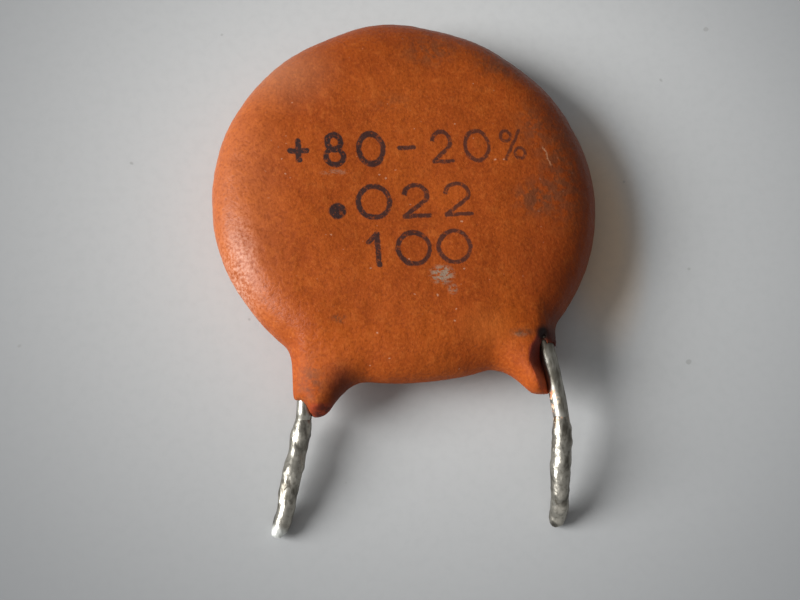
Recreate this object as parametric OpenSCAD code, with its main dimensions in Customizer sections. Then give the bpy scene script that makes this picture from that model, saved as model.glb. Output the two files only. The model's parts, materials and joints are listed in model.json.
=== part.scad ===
// Ceramic disc capacitor with a dip coating and two radial leads.
// It lies as it comes to rest on a table: on the far edge of the disc and on
// the ends of the two bent leads. Millimetres, +Z up, leads towards -Y.
// The disc is drawn flat round its own centre and then laid down by lay().

/* [Ceramic] */
// Diameter of the bare ceramic disc
ceramic_d = 16.8; // [12:0.1:22]
// Thickness of the bare ceramic disc
ceramic_t = 0.5; // [0.3:0.05:1.2]
// Bare ring left between the silver and the edge of the ceramic
silver_margin = 0.45; // [0.2:0.05:1]
// Thickness of each fired silver electrode
silver_t = 0.05; // [0.03:0.01:0.1]

/* [Leads] */
// Diameter of the tinned copper wire
lead_d = 0.8; // [0.5:0.05:1]
// Distance of the front lead from the centre line, where it leaves the coating
front_lead_x = 5.9; // [4.6:0.05:6.4]
// Distance of the back lead from the centre line, where it leaves the coating
back_lead_x = 5.6; // [4.6:0.05:6.4]
// Length in plan of the back lead beyond the coating
back_lead_reach = 6.1; // [5:0.1:9]
// Length in plan of the front lead beyond the coating
front_lead_reach = 8.6; // [7:0.1:11]

/* [Solder] */
// Diameter of the solder joint on each electrode
joint_d = 3; // [2.4:0.1:4]
// Solder over the top of the lead in a joint
joint_cover = 0.12; // [0.05:0.01:0.25]
// Solder film between a lead and the electrode
joint_film = 0.03; // [0.02:0.01:0.08]
// Mean thickness of the old solder left on the free end of a lead
residue_t = 0.06; // [0.06:0.01:0.12]

/* [Coating] */
// Coating over the edge of the ceramic
rim_cover = 1.15; // [0.9:0.05:1.8]
// Coating over the top of the leads, on each face
face_cover = 0.45; // [0.35:0.05:0.9]
// Width of the rounded shoulder between the flat face and the rim
shoulder = 2; // [1.2:0.1:2.6]
// Height of the drip that set on the rim, opposite the leads
drip = 0.2; // [0:0.05:0.5]
// Depth of the hollow in the rim between the leads
hollow = 0.3; // [0:0.05:0.5]

/* [Coated legs] */
// Length of the back leg beyond the rim, at its lead
back_leg_l = 2.8; // [2:0.05:4]
// Length of the front leg beyond the rim, at its lead
front_leg_l = 2.75; // [2:0.05:4]
// Coating on the outer side of the back lead
back_leg_outer = 0.15; // [0.1:0.05:0.8]
// Coating on the outer side of the front lead
front_leg_outer = 0.3; // [0.1:0.05:0.8]
// Coating on the inner side of the back lead, at the end of the leg
back_leg_inner = 0.55; // [0.1:0.05:0.8]
// Coating on the inner side of the front lead, at the end of the leg
front_leg_inner = 0.3; // [0.1:0.05:0.8]
// How much wider the inner side gets for each millimetre towards the disc
leg_flare = 0.8; // [0.5:0.05:1]
// How far a leg is moved from the middle plane towards its lead
leg_shift = 0.5; // [0.3:0.05:0.6]
// Size of the blend between the inner side of a leg and the rim
leg_blend = 1.3; // [0.5:0.1:1.6]
// Length of the corner that has broken off the outer side of the back leg
back_chip = 0.75; // [0:0.05:0.9]

/* [Rest] */
// Slope of the disc, leg side up
rest_pitch = 2; // [1:0.5:4]
// Slope of the disc, back lead side up
rest_roll = 2; // [0:0.5:3]

/* [Hidden] */

front = 1;           // the side of the right-hand lead
back = -1;           // the side of the left-hand lead
facet_long = 0.7;    // step along the plain rim
facet_short = 0.28;  // step along the legs and the hollow between them
broken_end = 2;      // how much faster a leg grows thick from its broken end
drip_at = 92;        // where the drip set on the rim, in degrees from +X
drip_width = 14;     // how far the drip runs out to each side, in degrees
hollow_at = -87;     // where the hollow in the rim is deepest, in degrees from +X
hollow_width = 22;
front_solder_from = 7;  // the point of each route that the old solder starts at
back_solder_from = 4;
front_seed = 40;     // picks the lumps of the solder on each lead
back_seed = 200;
wire_sides = 14;
residue_sides = 18;
// rings of the skin, from the rim inwards
skin_rings = [1, 0.99, 0.97, 0.94, 0.9, 0.855, 0.81, 0.765, 0.71, 0.64, 0.56];

$fn = 96;

// the rim of the coating sagged a little off the ceramic's centre
rim_offset = [-0.06, -0.12];
rim_r = ceramic_d / 2 + rim_cover;
lead_r = lead_d / 2;
silver_r = ceramic_d / 2 - silver_margin;
silver_top = ceramic_t / 2 + silver_t;
lead_z = silver_top + joint_film + lead_r;
face_z = lead_z + lead_r + face_cover;
joint_h = joint_film + lead_d + joint_cover;

// ---- small helpers ----
function unit(v) = v / norm(v);
function mix(a, b, t) = a + (b - a) * t;
function smooth(t) = let (u = min(1, max(0, t))) u * u * (3 - 2 * u);
function bell(d, width) = exp(-pow(d / width, 2));
// the larger of two, with a fillet of about k where they cross
function blend(a, b, k) = let (h = min(1, max(0, 0.5 + (a - b) / (2 * k))))
    mix(b, a, h) + k * h * (1 - h);

// ---- sizes that differ between the two sides ----
function lead_x(side) = side == front ? front_lead_x : back_lead_x;
function leg_root(side) = rim_offset.y - sqrt(pow(rim_r, 2) - pow(lead_x(side), 2));
function leg_end(side) = leg_root(side) - (side == front ? front_leg_l : back_leg_l);
function leg_outer(side) = lead_x(side) + lead_r + (side == front ? front_leg_outer : back_leg_outer);
function leg_inner(side) = lead_x(side) - lead_r - (side == front ? front_leg_inner : back_leg_inner);

// ---- the coating, seen from above ----
// depth() is 0 on the outline and grows inwards, at first like the distance.
function rim_at(a) = rim_r + drip * bell(a - drip_at, drip_width)
    - hollow * bell(a - hollow_at, hollow_width);
function disc_depth(p) = let (v = p - rim_offset, r = rim_at(atan2(v.y, v.x)))
    (r * r - v * v) / (2 * r);
function chip(p) = back_chip * smooth((back_lead_x - 0.1 - abs(p.x)) / -0.7 + 0.5);
function leg_depth(p, side) = let (
    up = p.y - leg_end(side) - (side == back ? chip(p) : 0),
    inner = leg_inner(side) - leg_flare * up,
    half = (leg_outer(side) - inner) / 2,
    off = side * p.x - inner - half)
    -blend(-(half * half - off * off) / (2 * half), max(-broken_end * up, up + leg_root(side)), 0.4);
function blend_at(p) = mix(leg_blend, 0.4, smooth((abs(p.x) - front_lead_x) / lead_d + 0.5));
function depth(p) = let (k = blend_at(p))
    blend(blend(disc_depth(p), leg_depth(p, back), k), leg_depth(p, front), k);
function slope(p, e = 0.001) =
    [depth(p + [e, 0]) - depth(p - [e, 0]), depth(p + [0, e]) - depth(p - [0, e])] / (2 * e);
function to_edge(p, tries = 4) = tries == 0 ? p
    : let (g = slope(p)) to_edge(p - g * depth(p) / (g * g), tries - 1);

// Walks once round the outline, anticlockwise, in even steps.
function turn(p, q) = let (a = atan2(q.y, q.x) - atan2(p.y, p.x)) a < -180 ? a + 360 : a;
function step_at(p) = p.y < 0.7 * leg_root(back) ? facet_short : facet_long;
function stroll(p, turned = 0) = let (
    g = unit(slope(p)),
    q = to_edge(p + step_at(p) * [g.y, -g.x]),
    so_far = turned + turn(p, q))
    so_far > 360 - 0.6 * turn(p, q) ? [p] : concat([p], stroll(q, so_far));
outline = stroll(to_edge([0, rim_r]));

// ---- the coating, in section ----
function roundness(d) = d >= shoulder ? 1 : sqrt(1 - pow(1 - max(0, d) / shoulder, 2));
// the legs leave the middle plane towards the face that their lead is on
function middle(p) = let (down = smooth((-0.65 * rim_r - p.y) / (0.35 * rim_r)))
    leg_shift * down * (bell(p.x - front_lead_x, 2) - bell(p.x + back_lead_x, 2));
function skin_point(p, face) = [p.x, p.y, middle(p) + face * face_z * roundness(depth(p))];

skin_count = len(outline);
skin_points = [for (face = [front, back], s = skin_rings, p = outline)
    s == 1 ? [p.x, p.y, middle(p)] : skin_point(s * p, face)];
function skin_id(face, ring, i) =
    ((face == front || ring == 0 ? 0 : len(skin_rings)) + ring) * skin_count + i % skin_count;
function two_way(quad, face) = face == front ? quad : [quad[0], quad[2], quad[1]];

module coating_skin() {
    n = skin_count;
    top = len(skin_rings) - 1;
    walls = [for (face = [front, back], ring = [0:top - 1], i = [0:n - 1])
        let (a = skin_id(face, ring, i), b = skin_id(face, ring, i + 1),
             c = skin_id(face, ring + 1, i + 1), d = skin_id(face, ring + 1, i))
        each [two_way([a, c, b], face), two_way([a, d, c], face)]];
    flat_front = [for (i = [n - 1:-1:0]) skin_id(front, top, i)];
    flat_back = [for (i = [0:n - 1]) skin_id(back, top, i)];
    polyhedron(skin_points, concat(walls, [flat_front, flat_back]), convexity = 6);
}

// where each lead leaves the coating, on the flat disc
front_exit = [front * front_lead_x, leg_root(front) - 0.1, front * lead_z];
back_exit = [back * back_lead_x, leg_end(back) + 0.8, back * lead_z];

// ---- how the disc lies ----
function tilted(p) = let (
    q = [p.x, p.y * cos(rest_pitch) + p.z * sin(rest_pitch),
         p.z * cos(rest_pitch) - p.y * sin(rest_pitch)])
    [q.x * cos(rest_roll) + q.z * sin(rest_roll), q.y,
     q.z * cos(rest_roll) - q.x * sin(rest_roll)];
tilted_skin = [for (p = skin_points) tilted(p)];
far_y = max([for (p = tilted_skin) p.y]);
near_y = min(tilted(front_exit).y - front_lead_reach, tilted(back_exit).y - back_lead_reach);
// the origin is in the middle of the footprint, at table height
centre = [0, -(far_y + near_y) / 2, -min([for (p = tilted_skin) p.z])];
function laid(p) = tilted(p) + centre;
module lay() {
    translate(centre) rotate([0, rest_roll, 0]) rotate([-rest_pitch, 0, 0]) children();
}

// ---- leads ----
// Inside the coating a lead runs flat over its electrode to the root of its leg.
function joint_at(side) = [side * (lead_x(side) - 2 * lead_d), 0.42 * leg_root(side)];
function inner_route(side) = let (j = joint_at(side), z = side * lead_z) [
    [j.x - side * 0.45 * lead_d, j.y + lead_d, z],
    [j.x + side * 0.6 * lead_d, j.y - 1.5 * lead_d, z],
    [side * (lead_x(side) - 0.4 * lead_d), 0.84 * leg_root(side), z]];

// Outside it a lead bends down to the table. Each station is a share of the reach
// onwards, a share of it sideways and a share of the drop from the exit to the tip.
front_stations = [[0.07, 0.013, 0.05], [0.18, 0.036, 0.12], [0.3, 0.049, 0.16],
                  [0.43, 0.061, 0.2], [0.56, 0.062, 0.27], [0.7, 0.042, 0.4],
                  [0.84, 0.028, 0.62], [0.95, 0.03, 0.99], [1, -0.008, 1]];
back_stations = [[0.12, -0.018, 0.2], [0.23, -0.042, 0.35], [0.39, -0.084, 0.44],
                 [0.54, -0.132, 0.5], [0.72, -0.177, 0.68], [0.87, -0.218, 0.96],
                 [1, -0.28, 1]];
tip_z = lead_r + residue_t;
function route(side, exit, reach, stations) = let (e = laid(exit)) concat(
    [for (p = inner_route(side)) laid(p)], [e],
    [for (s = stations) [e.x + s[1] * reach, e.y - s[0] * reach, mix(e.z, tip_z, s[2])]]);
front_route = route(front, front_exit, front_lead_reach, front_stations);
back_route = route(back, back_exit, back_lead_reach, back_stations);

// A smooth curve through the points of a route.
function between(a, b, c, d, t) = 0.5 * (2 * b + (c - a) * t
    + (2 * a - 5 * b + 4 * c - d) * t * t + (3 * b - a - 3 * c + d) * t * t * t);
function curve(r, from = 0, steps = 2) = let (n = len(r) - 1) concat(
    [for (i = [from:n - 1], k = [0:steps - 1])
        between(r[max(0, i - 1)], r[i], r[i + 1], r[min(n, i + 2)], k / steps)],
    [r[n]]);

// A skin round a curve; radius(k, a) is its radius at ring k and angle a.
module tube(line, sides, radius) {
    n = len(line) - 1;
    along = [for (k = [0:n]) unit(line[min(n, k + 1)] - line[max(0, k - 1)])];
    points = [for (k = [0:n], j = [0:sides - 1]) let (
        across = unit(cross(along[k], [0, 0, 1])),
        over = cross(across, along[k]),
        a = 360 * j / sides)
        line[k] + radius(k, a) * (across * cos(a) + over * sin(a))];
    walls = [for (k = [0:n - 1], j = [0:sides - 1]) let (
        i = k * sides, m = (j + 1) % sides)
        each [[i + j, i + m, i + sides + j], [i + m, i + sides + m, i + sides + j]]];
    start = [for (j = [sides - 1:-1:0]) j];
    end = [for (j = [0:sides - 1]) n * sides + j];
    polyhedron(points, concat(walls, [start, end]), convexity = 6);
}

module wire(r) {
    line = curve(r);
    color("silver") tube([for (k = [0:len(line) - 3]) line[k]], wire_sides,
                         function (k, a) lead_r);
}

// Lumpy solder round the free end of a lead, from one of its stations on.
module residue(r, from, seed) {
    line = curve(r, from);
    n = len(line) - 1;
    lumps = function (k, a) 0.45 * sin(97 * k + a + seed) + 0.35 * sin(151 * k - 2 * a + 2 * seed)
        + 0.2 * sin(61 * k + 3 * a);
    fade = function (k) k == 0 ? 0.5 : k == n ? 0.5 : k == n - 1 ? 0.9 : 1;
    color("gainsboro") difference() {
        tube(line, residue_sides, function (k, a) k >= n - 1
            ? fade(k) * (lead_r + residue_t)
            : lead_r + residue_t * fade(k) * (1 + 0.6 * lumps(k, a)));
        wire(r);
    }
}

// ---- pieces inside the coating ----
// sink is how far the flat side of the dome goes into the silver.
module joint_dome(side, sink = 0) {
    j = joint_at(side);
    ball = (joint_d * joint_d / 4 + joint_h * joint_h) / (2 * joint_h);
    translate([j.x, j.y, side * silver_top]) rotate([side == front ? 0 : 180, 0, 0])
        intersection() {
            translate([0, 0, joint_h - ball]) sphere(r = ball);
            translate([0, 0, -sink]) cylinder(h = 2 * joint_h, r = 2 * joint_d);
        }
}

module ceramic_disc() {
    color("tan") lay() cylinder(h = ceramic_t, d = ceramic_d, center = true);
}

module electrode(side) {
    color("lightgray") lay() translate([0, 0, side * (silver_top - silver_t / 2)])
        cylinder(h = silver_t, r = silver_r, center = true);
}

module solder_joint(side, r) {
    color("darkgray") difference() {
        lay() joint_dome(side);
        wire(r);
    }
}

// ---- the break in the front leg ----
// Its outer half is gone from the root down, and the break leans inwards.
broken_edge = [[0.8, 2.82], [0.64, 2.8], [0.52, 2.46], [0.26, 2.06], [0.02, 1.43], [0.14, 1],
               [0.22, 0.56], [0.14, -0.1], [0.14, -3], [4, -3], [4, 2.3], [1, 2.3],
               [0.72, 2.22]];
break_lean = 35;
module leg_break() {
    translate([front * lead_x(front), leg_end(front), 0]) rotate([0, -break_lean, 0])
        linear_extrude(height = 5 * face_z, center = true) polygon(broken_edge);
}

module dip_coating() {
    color("chocolate") difference() {
        lay() coating_skin();
        lay() leg_break();
        lay() cylinder(h = ceramic_t, d = ceramic_d, center = true);
        lay() cylinder(h = 2 * silver_top, r = silver_r, center = true);
        lay() joint_dome(front, silver_t);
        lay() joint_dome(back, silver_t);
        wire(front_route);
        wire(back_route);
    }
}

module front_electrode() { electrode(front); }
module back_electrode() { electrode(back); }
module front_solder_joint() { solder_joint(front, front_route); }
module back_solder_joint() { solder_joint(back, back_route); }
module front_lead() { wire(front_route); }
module back_lead() { wire(back_route); }
module front_lead_solder() { residue(front_route, front_solder_from, front_seed); }
module back_lead_solder() { residue(back_route, back_solder_from, back_seed); }

dip_coating();
ceramic_disc();
front_electrode();
back_electrode();
front_solder_joint();
back_solder_joint();
front_lead();
back_lead();
front_lead_solder();
back_lead_solder();
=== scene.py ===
# %% [markdown]
# # A ceramic disc capacitor on a table
# The real part is a thin ceramic disc with two wires, dipped in an orange
# resin that sets matte and finely grained. It has been used and pulled off
# a board: one coated leg is broken open, the wires are bent and carry old
# solder. This lesson dresses the part's solids. The coating, the wires and
# the solder each get a smooth, detailed skin, and each finish is built from
# nodes. The solids stay where they are, so every skin starts from the solid
# that it covers.

# %% The frame
import json
import math

import bmesh
import bpy
from mathutils import Matrix, Vector, noise


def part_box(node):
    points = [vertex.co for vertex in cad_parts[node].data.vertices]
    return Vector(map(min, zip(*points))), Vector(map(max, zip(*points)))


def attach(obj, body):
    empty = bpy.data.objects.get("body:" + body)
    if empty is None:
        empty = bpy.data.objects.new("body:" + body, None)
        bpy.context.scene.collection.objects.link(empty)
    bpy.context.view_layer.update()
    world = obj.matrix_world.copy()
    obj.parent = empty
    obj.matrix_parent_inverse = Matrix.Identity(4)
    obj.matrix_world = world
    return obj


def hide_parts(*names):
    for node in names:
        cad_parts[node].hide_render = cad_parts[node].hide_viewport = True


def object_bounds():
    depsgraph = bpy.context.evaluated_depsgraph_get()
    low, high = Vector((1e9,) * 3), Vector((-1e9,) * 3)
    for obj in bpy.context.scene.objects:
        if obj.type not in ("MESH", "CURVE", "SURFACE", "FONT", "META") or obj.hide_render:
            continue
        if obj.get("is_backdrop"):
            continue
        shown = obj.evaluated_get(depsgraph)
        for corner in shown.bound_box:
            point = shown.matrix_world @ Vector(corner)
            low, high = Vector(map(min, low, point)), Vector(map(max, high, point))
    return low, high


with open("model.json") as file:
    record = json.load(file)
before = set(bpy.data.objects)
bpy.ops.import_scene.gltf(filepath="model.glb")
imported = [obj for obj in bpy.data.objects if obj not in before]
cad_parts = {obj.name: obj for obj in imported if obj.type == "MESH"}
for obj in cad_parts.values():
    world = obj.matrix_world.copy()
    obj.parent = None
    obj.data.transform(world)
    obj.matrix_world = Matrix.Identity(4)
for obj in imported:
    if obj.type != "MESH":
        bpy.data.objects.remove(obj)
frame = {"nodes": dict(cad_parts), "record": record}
cad_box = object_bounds()
MM = 0.001
print("nodes:", ", ".join(sorted(frame["nodes"])))

# %% [markdown]
# ## Where the disc lies
# The disc rests on its far edge and on the ends of its wires, so its printed
# face is tilted a little. The record holds that face as a mount, with a
# point and a normal. From them come the two directions along the face, and
# any mark on it can then be placed in millimetres from the face's centre.

# %% The printed face
face = next(m for m in frame["record"]["mounts"] if m["name"] == "front_face")
face_centre = Vector(face["pos_m"])
face_up = Vector(face["axis"]).normalized()
face_x = Vector((0, 1, 0)).cross(face_up).normalized()
face_y = face_up.cross(face_x)
print("face tilt:", round(math.degrees(face_up.angle(Vector((0, 0, 1)))), 1), "degrees")


def on_face(x, y, z=0.0):
    """A point in the scene, from millimetres along and above the face."""
    return face_centre + (face_x * x + face_y * y + face_up * z) * MM


def from_face(point):
    """The other way: how far a point lies along and above the face, in millimetres."""
    step = (point - face_centre) / MM
    return step.dot(face_x), step.dot(face_y), step.dot(face_up)


# %% [markdown]
# ## The camera
# The camera looks steeply down from the front left, turned a little round
# its own axis, from about seven centimetres away. Aiming it by a target, a
# direction and a roll keeps each number readable.

# %% The camera
CAMERA_TARGET = Vector((-0.735, -1.833, 2.0)) * MM
CAMERA_DISTANCE = 68.29 * MM
CAMERA_ELEVATION = math.radians(73.0)
CAMERA_AZIMUTH = math.radians(-17.8)
CAMERA_ROLL = math.radians(13.96)
CAMERA_LENS = 63.4

back = Vector((math.sin(CAMERA_AZIMUTH) * math.cos(CAMERA_ELEVATION),
               -math.cos(CAMERA_AZIMUTH) * math.cos(CAMERA_ELEVATION),
               math.sin(CAMERA_ELEVATION)))
camera = bpy.data.objects.new("camera", bpy.data.cameras.new("camera"))
bpy.context.collection.objects.link(camera)
camera.data.lens = CAMERA_LENS
camera.data.clip_start = MM
camera.location = CAMERA_TARGET + back * CAMERA_DISTANCE
aim = (-back).to_track_quat("-Z", "Y")
camera.rotation_mode = "QUATERNION"
camera.rotation_quaternion = aim @ Matrix.Rotation(CAMERA_ROLL, 4, "Z").to_quaternion()
bpy.context.scene.camera = camera
print("camera at", [round(v / MM, 1) for v in camera.location], "mm")

# %% [markdown]
# ## Sums with sockets
# The colours of a used part are a chain of small sums on patterns: a stain
# is an ellipse times a noise times a strength. Linking such a chain node by
# node is long to write and hard to read. Wrapping a node's output in a class
# that knows plus, minus, times and divided by lets each sum be one line, and
# each operator adds its own Math node behind the scenes.


# %% A signal
class Signal:
    """A node's output, for use in sums with numbers and other signals."""

    def __init__(self, nodes, socket):
        self.nodes = nodes
        self.socket = socket

    def math(self, operation, *others, first=None, clamp=False):
        values = [self if first is None else first, *others]
        settings = {"operation": operation, "use_clamp": clamp}
        return self.nodes.node("ShaderNodeMath", settings, dict(enumerate(values)))

    def __add__(self, other):
        return self.math("ADD", other)

    def __sub__(self, other):
        return self.math("SUBTRACT", other)

    def __mul__(self, other):
        return self.math("MULTIPLY", other)

    def __truediv__(self, other):
        return self.math("DIVIDE", other)

    __radd__ = __add__
    __rmul__ = __mul__

    def __rsub__(self, other):
        return self.math("SUBTRACT", self, first=other)

    def __rtruediv__(self, other):
        return self.math("DIVIDE", self, first=other)

    def size(self):
        return self.math("ABSOLUTE")

    def least(self, other):
        return self.math("MINIMUM", other)

    def most(self, other):
        return self.math("MAXIMUM", other)

    def clamped(self):
        return self.math("ADD", 0.0, clamp=True)

    def ramp(self, low, high):
        """0 below low and 1 above high, or the other way round, with soft ends."""
        sockets = {"Value": self, "From Min": min(low, high), "From Max": max(low, high)}
        if low > high:
            sockets.update({"To Min": 1.0, "To Max": 0.0})
        return self.nodes.node("ShaderNodeMapRange", {"interpolation_type": "SMOOTHSTEP"}, sockets)


print("a signal knows +, -, * and /")

# %% [markdown]
# ## Nodes and finishes
# Every finish is a tree of nodes, and so is the sky. A new node should take
# one call: its type, its settings and what goes into its sockets. The
# settings are set first, because some of them change which sockets a node
# has. Colours are mixed by a Mix node and places by Vector Math, since a
# plain Math node would turn a colour grey. A finish is such a tree together
# with its material and its shader.


# %% A tree of nodes
class Nodes:
    """A node tree, to which each new node is added by one call."""

    MIX_SHARE, MIX_FIRST, MIX_SECOND, MIX_RESULT = 0, 6, 7, 2   # a Mix node's colour sockets

    def __init__(self, tree):
        self.tree = tree

    def fill(self, socket, value):
        if isinstance(value, Signal):
            self.tree.links.new(value.socket, socket)
        elif socket.type == "RGBA" and len(value) == 3:
            socket.default_value = (*value, 1)
        else:
            socket.default_value = value

    def node(self, kind, settings, sockets, output=0):
        made = self.tree.nodes.new(kind)
        for name, value in settings.items():
            setattr(made, name, value)
        for name, value in sockets.items():
            self.fill(made.inputs[name], value)
        return Signal(self, made.outputs[output])

    def mix(self, share, first, second):
        """The first colour where share is 0 and the second where it is 1."""
        sockets = {self.MIX_SHARE: share, self.MIX_FIRST: first, self.MIX_SECOND: second}
        return self.node("ShaderNodeMix", {"data_type": "RGBA"}, sockets, self.MIX_RESULT)

    def layered(self, tone, *layers):
        """A colour with tints over it, each given by its pattern, its strength and the tint."""
        for pattern, strength, tint in layers:
            tone = self.mix(pattern * strength, tone, tint)
        return tone

    def vector(self, operation, first, second, output=0):
        return self.node("ShaderNodeVectorMath", {"operation": operation},
                         {0: first, 1: second}, output)

    def scaled(self, vector, share):
        return self.node("ShaderNodeVectorMath", {"operation": "SCALE"},
                         {0: vector, "Scale": share})


print("a tree takes its nodes by one call each")


# %% A finish
class Finish(Nodes):
    """A material, its Principled shader and the nodes that feed it."""

    def __init__(self, name, **constants):
        self.material = bpy.data.materials.new(name)
        self.material.use_nodes = True
        super().__init__(self.material.node_tree)
        self.shader = self.tree.nodes["Principled BSDF"]
        self.feed(**constants)
        self.place = self.node("ShaderNodeTexCoord", {}, {}, "Object")

    def feed(self, **sockets):
        for name, value in sockets.items():
            self.fill(self.shader.inputs[name.replace("_", " ")], value)

    def noise(self, scale_mm, detail=3.0, roughness=0.55, output=0, at=None):
        sockets = {"Vector": at or self.place, "Scale": 1 / (scale_mm * MM),
                   "Detail": detail, "Roughness": roughness}
        return self.node("ShaderNodeTexNoise", {}, sockets, output)

    def along(self, direction, start):
        """How far a point lies from start along a direction, in millimetres."""
        step = self.vector("SUBTRACT", self.place, start)
        return self.vector("DOT_PRODUCT", step, direction / MM, "Value")

    def far(self, start):
        """How far a point lies from start, in millimetres."""
        return self.vector("DISTANCE", self.place, start, "Value") / MM

    def mark(self, name):
        """A number that was stored on the mesh's vertices."""
        return self.node("ShaderNodeAttribute", {"attribute_name": name}, {}, "Fac")

    def wear(self, piece):
        piece.data.materials.clear()
        piece.data.materials.append(self.material)


def srgb(red, green, blue):
    """The shader's linear colour for three display values from 0 to 255."""
    return tuple(((v / 255 + 0.055) / 1.055) ** 2.4 if v > 10 else v / 255 / 12.92
                 for v in (red, green, blue))


print("half grey is", [round(v, 3) for v in srgb(128, 128, 128)], "for a shader")

# %% [markdown]
# ## Skins grown from the solids
# The solids are made of flat facets, but the real surfaces are poured and
# drawn, with no edges at all. Subdividing a faceted solid would keep its
# long thin triangles, which wrinkle when relief is added. So a copy of each
# solid is wrapped in an even net of small squares with the voxel Remesh
# modifier and then relaxed. That rounds the facets away and leaves enough
# vertices for fine relief, which a noise presses in along the normals.


# %% A remeshed copy
def skin_of(name, nodes, voxel, relax):
    """One smooth mesh round copies of some solids. voxel is in millimetres."""
    form = bmesh.new()
    for node in nodes:
        form.from_mesh(frame["nodes"][node].data)
    bmesh.ops.remove_doubles(form, verts=form.verts, dist=1e-7)
    mesh = bpy.data.meshes.new(name)
    form.to_mesh(mesh)
    form.free()
    piece = bpy.data.objects.new(name, mesh)
    bpy.context.collection.objects.link(piece)
    net = piece.modifiers.new("net", "REMESH")
    net.mode = "VOXEL"
    net.voxel_size = voxel * MM
    soft = piece.modifiers.new("soft", "SMOOTH")
    soft.factor = 0.5
    soft.iterations = relax
    evaluated = piece.evaluated_get(bpy.context.evaluated_depsgraph_get())
    finished = bpy.data.meshes.new_from_object(evaluated)
    piece.modifiers.clear()
    piece.data = finished
    finished.shade_smooth()
    print(name, "has", len(finished.polygons), "faces")
    return piece


print("a skin can be grown from", len(frame["nodes"]), "solids")


# %% Relief in a skin
def press(piece, *layers, where=None):
    """Moves vertices along their normals by layers of noise, each a size and a depth in mm."""
    mesh = piece.data
    normals = [v.normal.copy() for v in mesh.vertices]
    for vertex, normal in zip(mesh.vertices, normals):
        lift = sum(noise.noise(vertex.co / (size * MM) + Vector((seed, 0, 0))) * depth
                   for seed, (size, depth) in enumerate(layers))
        share = where(vertex.co) if where else 1.0
        vertex.co += normal * lift * share * MM


print("a skin can be pressed by noise")

# %% [markdown]
# ## The dipped coating
# The part was dipped in liquid resin and baked. The resin is thick where it
# ran and thin where it stretched, and its skin is never quite flat. A slow
# noise gives the waviness of the dip, a middle one its dimples and a quick
# one its grain. They are pressed into the mesh itself, because waves this
# wide show along the rim, where a bump in the finish can't reach.

# %% The coating's skin
COATING_NET = 0.122        # the width of one square of the net, in millimetres
COATING_RELAX = 2
DIP_RELIEF = ((2.6, 0.06), (0.9, 0.02), (0.3, 0.012))

coating = skin_of("coating", ["dip_coating"], COATING_NET, COATING_RELAX)
press(coating, *DIP_RELIEF)
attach(coating, "root")
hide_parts("dip_coating")
print("the dip has", len(coating.data.vertices), "vertices")

# %% [markdown]
# ## Where the coating is broken
# The outer half of the front leg has snapped off. The break shows the bulk
# of the resin, which is darker and redder than its skin. The finish can't
# tell a break from a skin by its place alone, so each vertex gets a number:
# 1 on the broken wall, which leans to one side and faces the wire, and 0
# elsewhere. The crumbled end of the back leg is marked the same way.


# %% A number for every vertex
def smooth(value, low, high):
    """0 below low and 1 above high, with soft ends."""
    share = min(1.0, max(0.0, (value - low) / (high - low)))
    return share * share * (3 - 2 * share)


def store(piece, name, measure):
    """Keeps a number for every vertex, which the finish reads by its name."""
    layer = piece.data.attributes.new(name, "FLOAT", "POINT")
    normals = [v.normal.copy() for v in piece.data.vertices]
    values = [measure(v.co, n) for v, n in zip(piece.data.vertices, normals)]
    layer.data.foreach_set("value", values)
    print(name, "marks", sum(v > 0.5 for v in values), "of", len(values), "vertices")


print("vertices can carry numbers")

# %% The line of the break
FRONT_LEG = (5.9, -10.38)   # its lead and its end, in millimetres on the face
BACK_LEG = (-5.6, -10.6)
FACE_HEIGHT = 1.58          # of the face over the disc's middle plane
WALL_LEAN = math.radians(35)
# how far the broken wall lies from the lead, for steps back from the leg's end
WALL = [(-3.0, 0.14), (-0.1, 0.14), (0.56, 0.22), (1.0, 0.14), (1.43, 0.02), (2.06, 0.26),
        (2.46, 0.52), (2.8, 0.64)]
wall_out = (face_x * math.cos(WALL_LEAN) + face_up * math.sin(WALL_LEAN)).normalized()


def wall_at(back_step):
    for (y0, x0), (y1, x1) in zip(WALL, WALL[1:]):
        if back_step <= y1:
            return x0 + (x1 - x0) * (back_step - y0) / (y1 - y0)
    return WALL[-1][1]


print("the line of the break has", len(WALL), "points")

# %% Marks on the breaks
WALL_FROM, WALL_TO = -0.6, 2.95      # steps back from the leg's end
WALL_REACH = (0.06, 0.17)            # how near the wall a vertex lies, fully and at most
WALL_FACING = (0.45, 0.75)           # how well it faces out of the wall
END_FACING = (0.3, 0.7)              # how well it faces out of the back leg's end
END_REACH = (0.25, 0.5)
BACK_SIDE = -3.9                     # everything left of this is the back leg


def broken(point, normal):
    x, y, z = from_face(point)
    step = y - FRONT_LEG[1]
    across = ((x - FRONT_LEG[0]) * math.cos(WALL_LEAN)
              + (z + FACE_HEIGHT) * math.sin(WALL_LEAN))
    off_wall = abs(across - wall_at(step))
    near = 1 - smooth(off_wall, *WALL_REACH) if WALL_FROM < step < WALL_TO else 0
    wall = near * smooth(normal.dot(wall_out), *WALL_FACING)
    end = y - BACK_LEG[1]
    crumbs = smooth(-normal.dot(face_y), *END_FACING) * (1 - smooth(end, *END_REACH))
    return max(wall, crumbs if x < BACK_SIDE else 0)


store(coating, "broken", broken)

# %% [markdown]
# ## The wires
# Each wire was drawn round and bent by hand. It could be a curve with a
# round bevel, but then its route would be written twice. A skin grown from
# the solid follows the solid's own route. Its net is finer than the
# coating's, and relaxing it brings back the true round section.

# %% The wires' skins
WIRE_NET = 0.06
WIRE_RELAX = 8
WIRE_RELIEF = ((1.1, 0.03), (0.35, 0.012))

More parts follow.
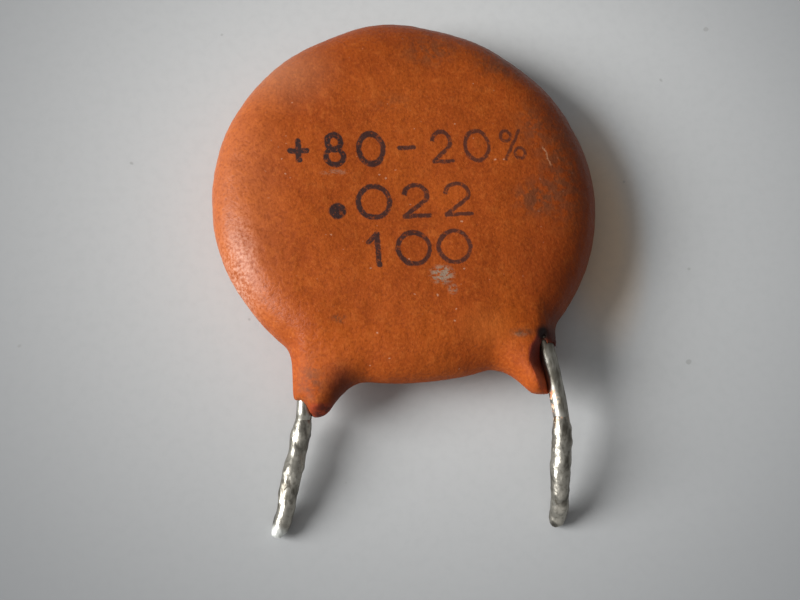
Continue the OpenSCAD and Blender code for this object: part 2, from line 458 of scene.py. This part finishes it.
wires = []
for node in ("front_lead", "back_lead"):
    wire = skin_of(node + "_wire", [node], WIRE_NET, WIRE_RELAX)
    press(wire, *WIRE_RELIEF)
    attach(wire, "root")
    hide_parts(node)
    wires.append(wire)
print("wires:", [wire.name for wire in wires])

# %% [markdown]
# ## The old solder
# Solder wets the wire, so its film starts at nothing and thickens in lumps
# towards the cut end. A thin shell remeshed by itself would come out with
# holes. So the skin is grown round the wire and its solder together, cut
# off where the solder starts, and pressed with a coarse and a fine noise.
# Near its start it is drawn in, so that no step shows.


# %% A skin cut off
def cut_off(piece, start):
    """Takes away what lies further up than the solder's start, and closes the cut."""
    form = bmesh.new()
    form.from_mesh(piece.data)
    bmesh.ops.bisect_plane(form, geom=form.verts[:] + form.edges[:] + form.faces[:], dist=1e-9,
                           plane_co=(0, start, 0), plane_no=(0, 1, 0), clear_outer=True)
    bmesh.ops.holes_fill(form, edges=[e for e in form.edges if e.is_boundary])
    bmesh.ops.recalc_face_normals(form, faces=form.faces)
    print(piece.name, "opens at", sum(e.is_boundary for e in form.edges), "edges and holds",
          round(form.calc_volume() / MM ** 3, 2), "mm3")
    form.to_mesh(piece.data)
    form.free()
    piece.data.shade_smooth()


def draw_in(piece, start, depth, reach):
    """Sinks the skin by a depth at its start, and by nothing further on, in millimetres."""
    for vertex, normal in [(v, v.normal.copy()) for v in piece.data.vertices]:
        share = 1 - smooth((start - vertex.co.y) / MM, 0.0, reach)
        vertex.co -= normal * depth * share * MM


print("a skin can be cut off and drawn in")

# %% The old solder's skins
SOLDER_NET = 0.05
SOLDER_RELAX = 6
SOLDER_RELIEF = ((1.3, 0.09), (0.55, 0.06), (0.26, 0.02))
LUMPS_FROM, LUMPS_FULL = 0.1, 0.9    # where the lumps begin and are full, from the start
START_DEPTH, START_REACH = 0.06, 0.7

solders = []
for node, carrier in (("front_lead_solder", "front_lead"), ("back_lead_solder", "back_lead")):
    solder = skin_of(node + "_skin", [node, carrier], SOLDER_NET, SOLDER_RELAX)
    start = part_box(node)[1][1]
    cut_off(solder, start)
    press(solder, *SOLDER_RELIEF,
          where=lambda p: smooth((start - p.y) / MM, LUMPS_FROM, LUMPS_FULL))
    draw_in(solder, start, START_DEPTH, START_REACH)
    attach(solder, "root")
    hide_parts(node)
    solders.append(solder)
print("solder films:", [solder.name for solder in solders])

# %% [markdown]
# ## The coating's own directions
# The print, the grime and the scuffs all lie on the flat face, so the finish
# first works out where a point is on that face: so many millimetres across,
# so many up, and so many above it. These are plain dot products of the
# object coordinates with the directions found at the start. A UV map could
# say the same, but it would have to be unwrapped after every remesh.

# %% Places on the face
FRONT_FROM, FRONT_FULL = -1.3, -0.9   # the depth under the face where its marks end

coat = Finish("orange_dip", Specular_IOR_Level=0.18)
across = coat.along(face_x, face_centre)
upward = coat.along(face_y, face_centre)
above = coat.along(face_up, face_centre)
flat_point = coat.node("ShaderNodeCombineXYZ", {}, {"X": across, "Y": upward})
front_only = above.ramp(FRONT_FROM, FRONT_FULL)
radius = coat.vector("LENGTH", flat_point, (0, 0, 0), "Value")


def spot(x, y, wide, high, soft=0.5):
    """1 in the middle of an ellipse on the face, 0 outside it and soft between, in mm."""
    step = coat.vector("SUBTRACT", flat_point, (x, y, 0))
    round_step = coat.vector("MULTIPLY", step, (1 / wide, 1 / high, 0))
    return coat.vector("LENGTH", round_step, (0, 0, 0), "Value").ramp(1.0, 1.0 - soft)


print("the coating can be addressed in millimetres")

# %% [markdown]
# ## The resin's colour
# The resin is a strong burnt orange that varies a little from place to
# place. Fine pigment grains show as darker and lighter points, and a few
# pale flecks sit on the skin. Towards the right, the side away from the
# light, the skin is painted browner as shade, and it is browner towards
# the far edge too. The left rim and the far left shoulder get a painted
# sheen, as on the side towards the light. A painted map could hold all
# this, but it would be soft or huge at this closeness, while noises stay
# sharp at any distance. Each layer is one Mix node over the last: slow
# patches first, then the grain, then the wide tints by their places.

# %% The resin's colour
ORANGE = srgb(167, 77, 18)
BROWNER = srgb(154, 67, 14)
PALER = srgb(193, 104, 42)
PAINTED_RIM_SHEEN = srgb(198, 128, 86)
DARK_GRAIN = srgb(112, 45, 12)
PALE_FLECK = srgb(218, 172, 142)
RIGHT_SHADE_AND_FAR_BROWN = srgb(104, 37, 9)
PAINTED_SHOULDER_SHEEN = srgb(196, 146, 112)

patches = coat.noise(2.4, 3.0)
mottle = coat.noise(0.55, 3.0, 0.6)
grain = coat.noise(0.15, 2.0, 0.6)
fleck = coat.noise(0.2, 0.0, at=coat.vector("ADD", coat.place, (0.5, 0.2, 0.1)))
# painted shade: the right side, away from the light, is browner; the far edge is browner too
right_shade_and_far_brown = across.ramp(4.0, 9.0) * 0.6 + upward.ramp(4.0, 9.5) * 0.3
right_shade_and_far_brown = (right_shade_and_far_brown * patches.ramp(0.1, 0.5)).clamped()

tone = coat.layered(coat.mix(patches.ramp(0.3, 0.7), BROWNER, ORANGE),
                    # a painted sheen on the left rim, which faces the light
                    (across.ramp(-5.0, -9.8), 0.32, PAINTED_RIM_SHEEN),
                    (mottle.ramp(0.5, 0.75), 0.3, PALER),
                    (mottle.ramp(0.5, 0.3), 0.15, DARK_GRAIN),
                    (grain.ramp(0.52, 0.3), 0.4, DARK_GRAIN),
                    (grain.ramp(0.54, 0.74), 0.38, PALER),
                    (fleck.ramp(0.82, 0.9), 0.45, PALE_FLECK),
                    (right_shade_and_far_brown, 1.0, RIGHT_SHADE_AND_FAR_BROWN),
                    # painted shade at the lower right, a paler patch, then a painted sheen on the
                    # far left shoulder
                    (spot(6.4, -5.2, 2.6, 3.2, 0.9), 0.3, RIGHT_SHADE_AND_FAR_BROWN),
                    (spot(3.0, -7.2, 2.0, 1.4, 0.9), 0.35, PALER),
                    (spot(-5.8, 6.6, 3.6, 3.0, 1.0), 0.24, PAINTED_SHOULDER_SHEEN))
print("the resin's colour takes", len(coat.tree.nodes), "nodes")

# %% [markdown]
# ## Grime and scuffs
# Grey-brown grime has settled at the far edge and on the right of the face,
# and silvery scuffs show where something metal rubbed it. Each is an ellipse
# broken up by a noise, so its outline is ragged. A hand-painted mask would
# do as well, but an ellipse with five numbers is easier to move about.

# %% Grime
GRIME = srgb(86, 58, 40)
# each as x, y, half width, half height and strength, in millimetres on the face
GRIME_SPOTS = ((1.6, 7.4, 2.2, 1.3, 0.5), (6.1, -0.8, 1.7, 1.5, 0.6),
               (4.7, -7.6, 0.9, 0.35, 0.7), (-3.9, -6.5, 0.5, 0.35, 0.9),
               (6.4, 3.2, 1.2, 2.0, 0.45), (-0.5, 4.6, 1.6, 0.8, 0.25),
               (7.6, 0.6, 1.9, 4.6, 0.5), (5.2, 6.6, 2.2, 1.4, 0.45),
               (-5.3, -9.3, 1.0, 1.7, 0.5))

ragged = coat.noise(0.45, 4.0, 0.65)
broken_up = ragged.ramp(0.38, 0.58)
for x, y, wide, high, strength in GRIME_SPOTS:
    tone = coat.layered(tone, (spot(x, y, wide, high, 0.9) * broken_up, strength, GRIME))
print(len(GRIME_SPOTS), "patches of grime")

# %% Scuffs
SCUFF = srgb(150, 128, 108)
SCUFF_SPOTS = ((1.15, -4.55, 0.75, 0.62, 0.95), (1.6, -5.3, 0.3, 0.35, 0.6),
               (-3.6, 0.9, 0.9, 0.2, 0.35), (4.6, -7.7, 0.5, 0.15, 0.2))

scuffed = coat.noise(0.3, 3.0, 0.7, at=coat.vector("MULTIPLY", coat.place, (1, 2.2, 1)))
scuffed = scuffed.ramp(0.42, 0.55) * front_only
for x, y, wide, high, strength in SCUFF_SPOTS:
    tone = coat.layered(tone, (spot(x, y, wide, high, 0.6) * scuffed, strength, SCUFF))
print(len(SCUFF_SPOTS), "scuffs")

# %% [markdown]
# ## The scratch and the painted glints
# A pale scratch bends over the right shoulder. It is a band round a slanted
# line that a noise pushes about, kept only near the line's middle. The left
# shoulder faces the light, and its glints are painted highlights: small
# pale points inside a long ellipse.

# %% The scratch and the painted glints
SCRATCH = srgb(205, 150, 112)
PAINTED_GLINT = srgb(232, 200, 182)
SCRATCH_AT = (6.95, 1.4)
SCRATCH_LEAN = 0.3
SCRATCH_WOBBLE = 0.5

rough_edge = (ragged - 0.5) * SCRATCH_WOBBLE
off_middle = upward - SCRATCH_AT[1]
off_line = across - SCRATCH_AT[0] + off_middle * SCRATCH_LEAN + rough_edge
scratch = off_line.size().ramp(0.06, 0.02) * off_middle.size().ramp(0.6, 0.4) * front_only
# painted highlights: pale glints on the left shoulder, which faces the light
painted_glints = spot(-8.4, -4.2, 1.3, 4.4, 1.0) * grain.ramp(0.34, 0.78)
tone = coat.layered(tone, (scratch, 0.5, SCRATCH), (painted_glints, 0.42, PAINTED_GLINT))
print("with all its marks the coating takes", len(coat.tree.nodes), "nodes")

# %% [markdown]
# ## The broken resin
# The break is dark and reddish, and brighter towards the thin tip of the
# leg. Towards the hole where the wire comes out it is painted darker as
# shade, and in the hole it is painted black as shade. The stored mark says
# where the break is, and the place along the leg says how dark. Round the
# breaks a few dark ellipses more are painted shade: beside the hole and on
# the side of the back leg away from the light.

# %% The broken resin
BREAK_DARK = srgb(118, 46, 34)
BREAK_RED = srgb(206, 96, 54)
OLD_BREAK = srgb(150, 60, 30)
CRUMB_AND_SHADE_MAROON = srgb(76, 28, 18)
HOLE_SHADE = srgb(22, 14, 12)
# each as x, y, half width, half height and strength, in millimetres on the face
# painted shade beside the hole and the break, and on the back leg's side away from the light
PAINTED_SHADE_SPOTS = ((6.3, -7.75, 0.95, 0.9, 1.0), (6.6, -7.0, 1.0, 1.2, 0.55),
           (-3.9, -9.7, 1.2, 1.7, 0.75), (5.35, -8.6, 0.35, 0.8, 0.3))
WIRE_HOLE = on_face(5.72, -7.62, -0.3)

along_leg = upward - FRONT_LEG[1]
# painted shade: the break darkens from the leg's tip towards the hole
break_tone = coat.layered(coat.mix(along_leg.ramp(0.5, 1.9), BREAK_RED, BREAK_DARK),
                          (ragged.ramp(0.45, 0.7), 0.4, BREAK_DARK),
                          (across.ramp(0.5, -0.5), 1.0, OLD_BREAK))
tone = coat.mix(coat.mark("broken"), tone, break_tone)
for x, y, wide, high, strength in PAINTED_SHADE_SPOTS:
    tone = coat.layered(tone, (spot(x, y, wide, high, 0.8), strength, CRUMB_AND_SHADE_MAROON))
crumbled = spot(-4.6, -10.6, 1.2, 0.55, 0.7) * ragged.ramp(0.42, 0.56)
# painted shade: black in the hole where the wire comes out; the crumbled end keeps its own dark
painted_hole_shade = coat.far(WIRE_HOLE).ramp(0.55, 0.2) * ragged.ramp(0.2, 0.5)
tone = coat.layered(tone, (crumbled, 0.85, CRUMB_AND_SHADE_MAROON), (painted_hole_shade, 0.95, HOLE_SHADE))
print("with the breaks it takes", len(coat.tree.nodes), "nodes")

# %% [markdown]
# ## The print
# The real part carries three short rows of stamped marks. This one has plain
# figures instead: a tolerance, a decimal fraction and a round number. Text
# made a mesh would float on the uneven skin or sink into it, so the print is
# part of the finish. Each figure is made of straight strokes and rings, and
# the finish works out how far a point is from the nearest of them. Ink shows
# where that distance is under half a stroke's width. A noise moves the point
# a little first, so that the strokes have the rough edges of a rubber stamp.

# %% Strokes and rings
STAMP_WOBBLE = 0.16
OPEN_PAST_MIDDLE = 0.05    # how far past its middle an open ring still runs

rough = coat.vector("SUBTRACT", coat.noise(0.4, 3.0, 0.6, output=1), (0.5, 0.5, 0.5))
ink_point = coat.vector("ADD", flat_point,
                        coat.vector("MULTIPLY", rough, (STAMP_WOBBLE, STAMP_WOBBLE, 0)))


def line(ax, ay, bx, by):
    """The distance to a straight stroke, in millimetres."""
    step = coat.vector("SUBTRACT", ink_point, (ax, ay, 0))
    span = Vector((bx - ax, by - ay, 0))
    share = coat.vector("DOT_PRODUCT", step, span / span.length_squared, "Value").clamped()
    return coat.vector("DISTANCE", step, coat.scaled(span, share), "Value")


def ring(x, y, wide, high, open_towards=None):
    """The distance to an oval stroke, which may be open on one side."""
    step = coat.vector("SUBTRACT", ink_point, (x, y, 0))
    round_step = coat.vector("MULTIPLY", step, (1 / wide, 1 / high, 0))
    gap = (coat.vector("LENGTH", round_step, (0, 0, 0), "Value") - 1.0).size() * min(wide, high)
    if open_towards is None:
        return gap
    cut = coat.vector("DOT_PRODUCT", round_step, (*open_towards, 0), "Value") * min(wide, high)
    return gap.most(cut - OPEN_PAST_MIDDLE)


print("ink wobbles by", STAMP_WOBBLE, "mm")


# %% Figures
def figure(sign, x, y, wide):
    """The strokes of a figure 1.6 mm high, with the middle of its foot at x and y."""
    def stroke(ax, ay, bx, by):
        return line(x + ax * wide, y + ay, x + bx * wide, y + by)

    if sign == "0":
        return [ring(x, y + 0.8, 0.76 * wide, 0.8)]
    if sign == "1":
        return [stroke(0, 0, 0, 1.6), stroke(0, 1.6, -0.42, 1.2)]
    if sign == "2":
        return [ring(x, y + 1.08, 0.56 * wide, 0.52, open_towards=(-0.35, -0.94)),
                stroke(0.5, 0.82, -0.58, 0.02), stroke(-0.58, 0, 0.62, 0)]
    if sign == "8":
        return [ring(x, y + 1.2, 0.42 * wide, 0.4), ring(x, y + 0.42, 0.54 * wide, 0.42)]
    if sign == "%":
        return [ring(x - 0.4 * wide, y + 1.28, 0.25, 0.27),
                ring(x + 0.4 * wide, y + 0.32, 0.25, 0.27),
                stroke(-0.5, 0.02, 0.5, 1.58)]
    if sign == "+":
        return [stroke(-0.5, 0.8, 0.5, 0.8), stroke(0, 0.3, 0, 1.3)]
    return [stroke(-0.45, 0.8, 0.45, 0.8)]


print("a figure is drawn with strokes and rings in a cell 1.6 mm high")


# %% The rows of figures
# each row's signs, the places of their middles, the height of its foot and its width
ROWS = [("+80-20%", (-5.3, -3.55, -1.75, 0.0, 1.75, 3.5, 5.3), 1.3, 0.78),
        ("022", (-1.81, 0.23, 2.26), -1.5, 1.0),
        ("100", (-1.8, -0.08, 1.89), -3.95, 1.0)]
DOT = (-3.6, -1.1, 0.42)   # its place and its radius
HALF_STROKE = 0.112
THINNING = 0.007           # how much thinner a stroke gets per millimetre to the right

nearest = None
strokes = 0
for signs, places, foot, wide in ROWS:
    for sign, middle in zip(signs, places):
        for gap in figure(sign, middle, foot, wide):
            nearest = gap if nearest is None else nearest.least(gap)
            strokes += 1
half_width = HALF_STROKE - across * THINNING
inked = (nearest - half_width).ramp(0.04, -0.03)
dot_x, dot_y, dot_radius = DOT
off_dot = coat.vector("DISTANCE", ink_point, (dot_x, dot_y, 0), "Value")
inked = inked.most(off_dot.ramp(dot_radius + 0.05, dot_radius - 0.05))
print(strokes, "strokes of ink")

# %% [markdown]
# ## Old ink
# The stamp was pressed harder on its left, so the ink is thick and nearly
# black there and thin and brown on the right. It has also worn off the
# high grains. So the ink isn't a second material but one more Mix node,
# whose share is the stroke times the fading times the wear.

# %% The ink on the resin
INK = srgb(54, 34, 32)
INK_STRENGTH = 0.9
INK_FADING = 0.03          # how much weaker it gets per millimetre to the right
INK_WEAR = 0.6             # how much of it has gone where it is worn most

worn = 1.0 - coat.noise(0.2, 3.0, 0.7).ramp(0.5, 0.68) * INK_WEAR
fading = (INK_STRENGTH - across * INK_FADING).clamped()
tone = coat.mix(inked * fading * worn * front_only, tone, INK)
print("ink at", INK_STRENGTH, "of its full colour in the middle")

# %% [markdown]
# ## The skin's relief and gloss
# The skin is matte and granular. Grains this fine would need millions of
# faces, so they are a bump: a fine noise raises the grain, and a wider one
# its dimples. Towards the rim the resin thins out, so the face curves down
# long before the shoulder. That slow curve is added to the height too. The
# flat face and the legs have been rubbed dull, the shoulder keeps some of
# its gloss, and ink is a little duller than clean resin.

# %% The skin's relief and gloss
DOME_DROP = 0.5            # all heights and places are in millimetres
DOME = (4.0, 10.5)         # from where to where the face curves down
GRAIN_HEIGHT = 0.022
DIMPLE_HEIGHT = 0.03
FACE_ROUGHNESS = 0.6
SHOULDER = (6.0, 8.6)      # from where to where it turns from dull to glossy
SHOULDER_GLOSS = 0.25
LEGS = (-7.2, -8.6)        # from where to where it turns dull again
LEG_DULLNESS = 0.22
GRAIN_DULLNESS = 0.14
INK_DULLNESS = 0.1

dome = radius.ramp(*DOME) * -DOME_DROP
height = dome + grain * GRAIN_HEIGHT + mottle * DIMPLE_HEIGHT
relief = coat.node("ShaderNodeBump", {}, {"Height": height, "Strength": 1.0, "Distance": MM})
coat.feed(Base_Color=tone, Normal=relief)
dullness = FACE_ROUGHNESS - radius.ramp(*SHOULDER) * SHOULDER_GLOSS
dullness = dullness + upward.ramp(*LEGS) * LEG_DULLNESS
coat.feed(Roughness=dullness + grain * GRAIN_DULLNESS + inked * INK_DULLNESS)
coat.wear(coating)
print(len(coat.tree.nodes), "nodes in the coating's finish")

# %% [markdown]
# ## The tinned wire
# The bare wire is copper under a thin coat of tin. Handling has dulled it,
# so the tin is grey with faint lengthwise streaks, and only its gloss
# towards the light is bright. The streaks are a noise drawn out along Y,
# which both wires nearly follow. Where the front wire passes the broken
# leg, crumbs of resin still stick to it. A crumb isn't metal, so the crumbs
# lower Metallic as well as changing the colour.

# %% The tinned wire
TIN = srgb(166, 163, 154)
DULL_TIN = srgb(108, 104, 94)
SHADED_ROOT_TIN = srgb(92, 84, 72)
CREAM = srgb(226, 206, 178)
RESIN_CRUMB = srgb(205, 128, 80)
WIRE_CRUMBS = on_face(5.75, -10.7, -1.3)
WIRE_ROOT = on_face(5.75, -7.7, -0.9)
STREAK_HEIGHT = 0.005
TIN_GRAIN_HEIGHT = 0.002
TIN_ROUGHNESS = 0.32
STAIN_DULLNESS = 0.12

tin = Finish("tinned_wire")
streaks = tin.noise(0.25, 3.0, 0.6, at=tin.vector("MULTIPLY", tin.place, (1, 0.22, 1)))
stains = tin.noise(0.9, 3.0, 0.6)
crumbs = tin.noise(0.18, 3.0, 0.6).ramp(0.47, 0.56) * tin.far(WIRE_CRUMBS).ramp(0.8, 0.5)
crumb_tone = tin.mix(stains.ramp(0.4, 0.55), RESIN_CRUMB, CREAM)
# painted shade: the wire is darker at its root, where it leaves the hole
tin_tone = tin.layered(tin.mix(streaks.ramp(0.35, 0.65), DULL_TIN, TIN),
                       (stains.ramp(0.5, 0.7), 0.3, DULL_TIN),
                       (crumbs, 0.9, crumb_tone),
                       (tin.far(WIRE_ROOT).ramp(1.1, 0.5), 0.8, SHADED_ROOT_TIN))
tin_height = streaks * STREAK_HEIGHT + tin.noise(0.12) * TIN_GRAIN_HEIGHT
tin_relief = tin.node("ShaderNodeBump", {},
                      {"Height": tin_height, "Strength": 1.0, "Distance": MM})
tin.feed(Base_Color=tin_tone, Metallic=1.0 - crumbs, Normal=tin_relief,
         Roughness=TIN_ROUGHNESS + stains * STAIN_DULLNESS)
for wire in wires:
    tin.wear(wire)
print("tin on", len(wires), "wires")

# %% [markdown]
# ## Old solder
# Solder that was melted twice is bright on its lumps and grey and rough in
# the hollows between them, with brown flux left at the start of the film
# and a few crumbs of the orange resin on it. The same noise makes the lumps
# in the bump and picks their colour, so that bright places are the high
# ones. It is drawn out along Y, the way the solder ran down the wire. The
# cut end of the left wire is frosted white.

# %% Old solder
SOLDER = srgb(162, 158, 148)
GREY_SOLDER = srgb(88, 84, 76)
FLUX = srgb(120, 92, 62)
FROST = srgb(228, 231, 226)
LUMP_HEIGHT = 0.11
PIT_HEIGHT = 0.01
SOLDER_ROUGHNESS = 0.3
PIT_DULLNESS = 0.12
FROST_DULLNESS = 0.2
RIGHT_START = on_face(5.85, -10.8, -1.5)
LEFT_END = Vector((-7.33, -12.66, 0.5)) * MM

old = Finish("old_solder")
drawn_out = old.vector("MULTIPLY", old.place, (1, 0.4, 1))
lumps = old.noise(0.55, 3.0, 0.5, at=drawn_out)
pits = old.noise(0.16, 3.0, 0.6)
from_leg = old.far(RIGHT_START)
flux = from_leg.ramp(1.6, 0.8) * lumps.ramp(0.45, 0.6)
crumbs = from_leg.ramp(1.3, 0.8) * pits.ramp(0.56, 0.62)
crumb_tone = old.mix(lumps.ramp(0.4, 0.55), RESIN_CRUMB, CREAM)
frost = old.far(LEFT_END).ramp(0.75, 0.35)
solder_tone = old.layered(old.mix(lumps.ramp(0.32, 0.52), GREY_SOLDER, SOLDER),
                          (pits.ramp(0.5, 0.35), 0.35, GREY_SOLDER),
                          (flux, 0.8, FLUX),
                          (crumbs, 1.0, crumb_tone),
                          (frost, 0.8, FROST))
solder_height = lumps * LUMP_HEIGHT + pits * PIT_HEIGHT
solder_relief = old.node("ShaderNodeBump", {},
                         {"Height": solder_height, "Strength": 1.0, "Distance": MM})
old.feed(Base_Color=solder_tone, Metallic=1.0 - crumbs.most(frost * 0.6), Normal=solder_relief,
         Roughness=SOLDER_ROUGHNESS + pits * PIT_DULLNESS + frost * FROST_DULLNESS)
for solder in solders:
    old.wear(solder)
print("old solder on", len(solders), "films")

# %% [markdown]
# ## The inner pieces
# The ceramic, its silver and the two joints are sealed inside the coating,
# where nothing shows of them. They keep their solids and each still gets
# a finish of its own kind, in case the coating is ever cut open: fired tan
# ceramic, thin silver and dull solder. One noise is enough for each.

# %% Finishes of the inner pieces
CERAMIC = (srgb(140, 120, 92), srgb(170, 150, 120), 0.0)   # two tones and how metallic
SILVER = (srgb(165, 160, 148), srgb(205, 205, 200), 1.0)
JOINT_SOLDER = (srgb(120, 118, 112), srgb(186, 184, 178), 1.0)
INNER = {"ceramic_disc": CERAMIC, "front_electrode": SILVER, "back_electrode": SILVER,
         "front_solder_joint": JOINT_SOLDER, "back_solder_joint": JOINT_SOLDER}

for node, (dark, pale, shine) in INNER.items():
    inner = Finish(node + "_finish", Metallic=shine)
    speck = inner.noise(0.4)
    inner.feed(Base_Color=inner.mix(speck.ramp(0.3, 0.7), dark, pale),
               Roughness=0.45 + speck * 0.2)
    inner.wear(frame["nodes"][node])
print(len(INNER), "inner pieces are finished")

# %% [markdown]
# ## The table
# The part lies on plain grey paper. It is one square, since paper is flat at
# this scale and its tooth is only a change of tone. A pool of light is
# painted on it: palest round the part and softly darker outwards, as near
# the edge of a lit patch. A faint warm light from the orange rim is painted
# on the paper at its right, and a few specks of dust lie about.

# %% The table
FLOOR_SIZE = 1.2           # in metres

form = bmesh.new()
bmesh.ops.create_grid(form, x_segments=1, y_segments=1, size=FLOOR_SIZE / 2)
floor_mesh = bpy.data.meshes.new("floor")
form.to_mesh(floor_mesh)
form.free()
floor = bpy.data.objects.new("floor", floor_mesh)
bpy.context.collection.objects.link(floor)
floor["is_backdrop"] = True
print("the table is", FLOOR_SIZE, "m wide")

# %% The grey paper
PAPER = srgb(212, 213, 212)
DIM_PAPER = srgb(138, 140, 142)
DUST = srgb(150, 150, 148)
PAINTED_WARM_LIGHT = srgb(214, 188, 158)
LIT_PLACE = Vector((0, 4.6, 0)) * MM
DIM_FROM = 34              # how far from there the paper is dim, in millimetres
WARM_PLACE = Vector((9.8, 2, 0)) * MM
WARM_WIDE, WARM_HIGH = 3 * MM, 7.5 * MM

paper = Finish("grey_paper", Roughness=0.85, Specular_IOR_Level=0.2)
# painted light: a warm glow beside the part's right rim
beside = paper.vector("SUBTRACT", paper.place, WARM_PLACE)
painted_warm_glow = paper.vector("MULTIPLY", beside, (1 / WARM_WIDE, 1 / WARM_HIGH, 0))
painted_warm_glow = paper.vector("LENGTH", painted_warm_glow, (0, 0, 0), "Value").ramp(1.0, 0.3)
tooth = paper.noise(0.5, 4.0, 0.6)
specks = paper.noise(0.7, 0.0)
# painted light: the paper is palest round the part and darker outwards
painted_falloff = paper.mix(paper.far(LIT_PLACE).ramp(0, DIM_FROM), PAPER, DIM_PAPER)
paper.feed(Base_Color=paper.layered(painted_falloff,
                                    (painted_warm_glow, 0.8, PAINTED_WARM_LIGHT),
                                    (tooth.ramp(0.4, 0.7), 0.06, DIM_PAPER),
                                    (specks.ramp(0.86, 0.9), 0.6, DUST)))
paper.wear(floor)
print("the paper is dim from", DIM_FROM, "mm on")

# %% [markdown]
# ## The light
# A wide window stands low on the left, and the room is brighter on that
# side than on the other. A sun lamp with a wide disc gives the soft edge of
# the shadows. An area lamp would do that too, but its light falls off with
# distance, so the near side would be lit more than the far one. The sun's
# share and the sky's add up to a plain level, at which a colour on a flat
# surface renders about as it is written.

# %% The light
SUN_ELEVATION = math.radians(28.5)
SUN_AZIMUTH = math.radians(179.5)
SUN_WIDTH = math.radians(33)
SUN_SHARE = 0.72

sun = bpy.data.objects.new("sun", bpy.data.lights.new("sun", "SUN"))
bpy.context.collection.objects.link(sun)
sun.data.angle = SUN_WIDTH
sun.data.energy = SUN_SHARE * math.pi / math.sin(SUN_ELEVATION)
towards = Vector((math.cos(SUN_AZIMUTH) * math.cos(SUN_ELEVATION),
                  math.sin(SUN_AZIMUTH) * math.cos(SUN_ELEVATION), math.sin(SUN_ELEVATION)))
sun.rotation_mode = "QUATERNION"
sun.rotation_quaternion = towards.to_track_quat("Z", "Y")
print("sun shares", SUN_SHARE, "of the light")

# %% [markdown]
# ## The sky
# The rest of the light comes from all round, bright on the left and dim on
# the right. An image of a room could give it, but a plain fall from side to
# side is enough for a matte part. The background's strength follows the
# direction of each ray. Rays from the camera and from glossy surfaces see a
# brighter backdrop, so that it can be pale without lighting the part more.

# %% The sky
SKY_LEFT = 0.46
SKY_RIGHT = 0.10
BACKDROP_LEFT = 0.8
BACKDROP_RIGHT = 0.25
BRIGHT_SIDE = math.radians(200)

world = bpy.data.worlds.new("sky")
bpy.context.scene.world = world
world.use_nodes = True
sky = Nodes(world.node_tree)
gaze = sky.node("ShaderNodeTexCoord", {}, {}, "Generated")
to_dim_side = (-math.cos(BRIGHT_SIDE), -math.sin(BRIGHT_SIDE), 0)
dim = sky.vector("DOT_PRODUCT", gaze, to_dim_side, "Value").ramp(-1.0, 1.0)
lighting = SKY_LEFT + dim * (SKY_RIGHT - SKY_LEFT)
backdrop = BACKDROP_LEFT + dim * (BACKDROP_RIGHT - BACKDROP_LEFT)
print("the sky falls from", SKY_LEFT, "to", SKY_RIGHT)

# %% What sees the backdrop
seen = sum(sky.node("ShaderNodeLightPath", {}, {}, ray)
           for ray in ("Is Camera Ray", "Is Glossy Ray", "Is Transmission Ray")).clamped()
background = sky.tree.nodes["Background"]
sky.fill(background.inputs["Color"], (1, 1, 1))
sky.fill(background.inputs["Strength"], lighting + (backdrop - lighting) * seen)
bpy.context.scene.view_settings.view_transform = "Standard"
print("the sky takes", len(sky.tree.nodes), "nodes")

# %% [markdown]
# ## The end
# The dressed part is measured once more. A skin that bulged out of the solid
# it covers would show here, as a box larger than the first one.

# %% Sizes
new_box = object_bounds()
for name, box in (("cad", cad_box), ("visual", new_box)):
    print(name, "box in mm", [[round(x / MM, 2) for x in v] for v in box])
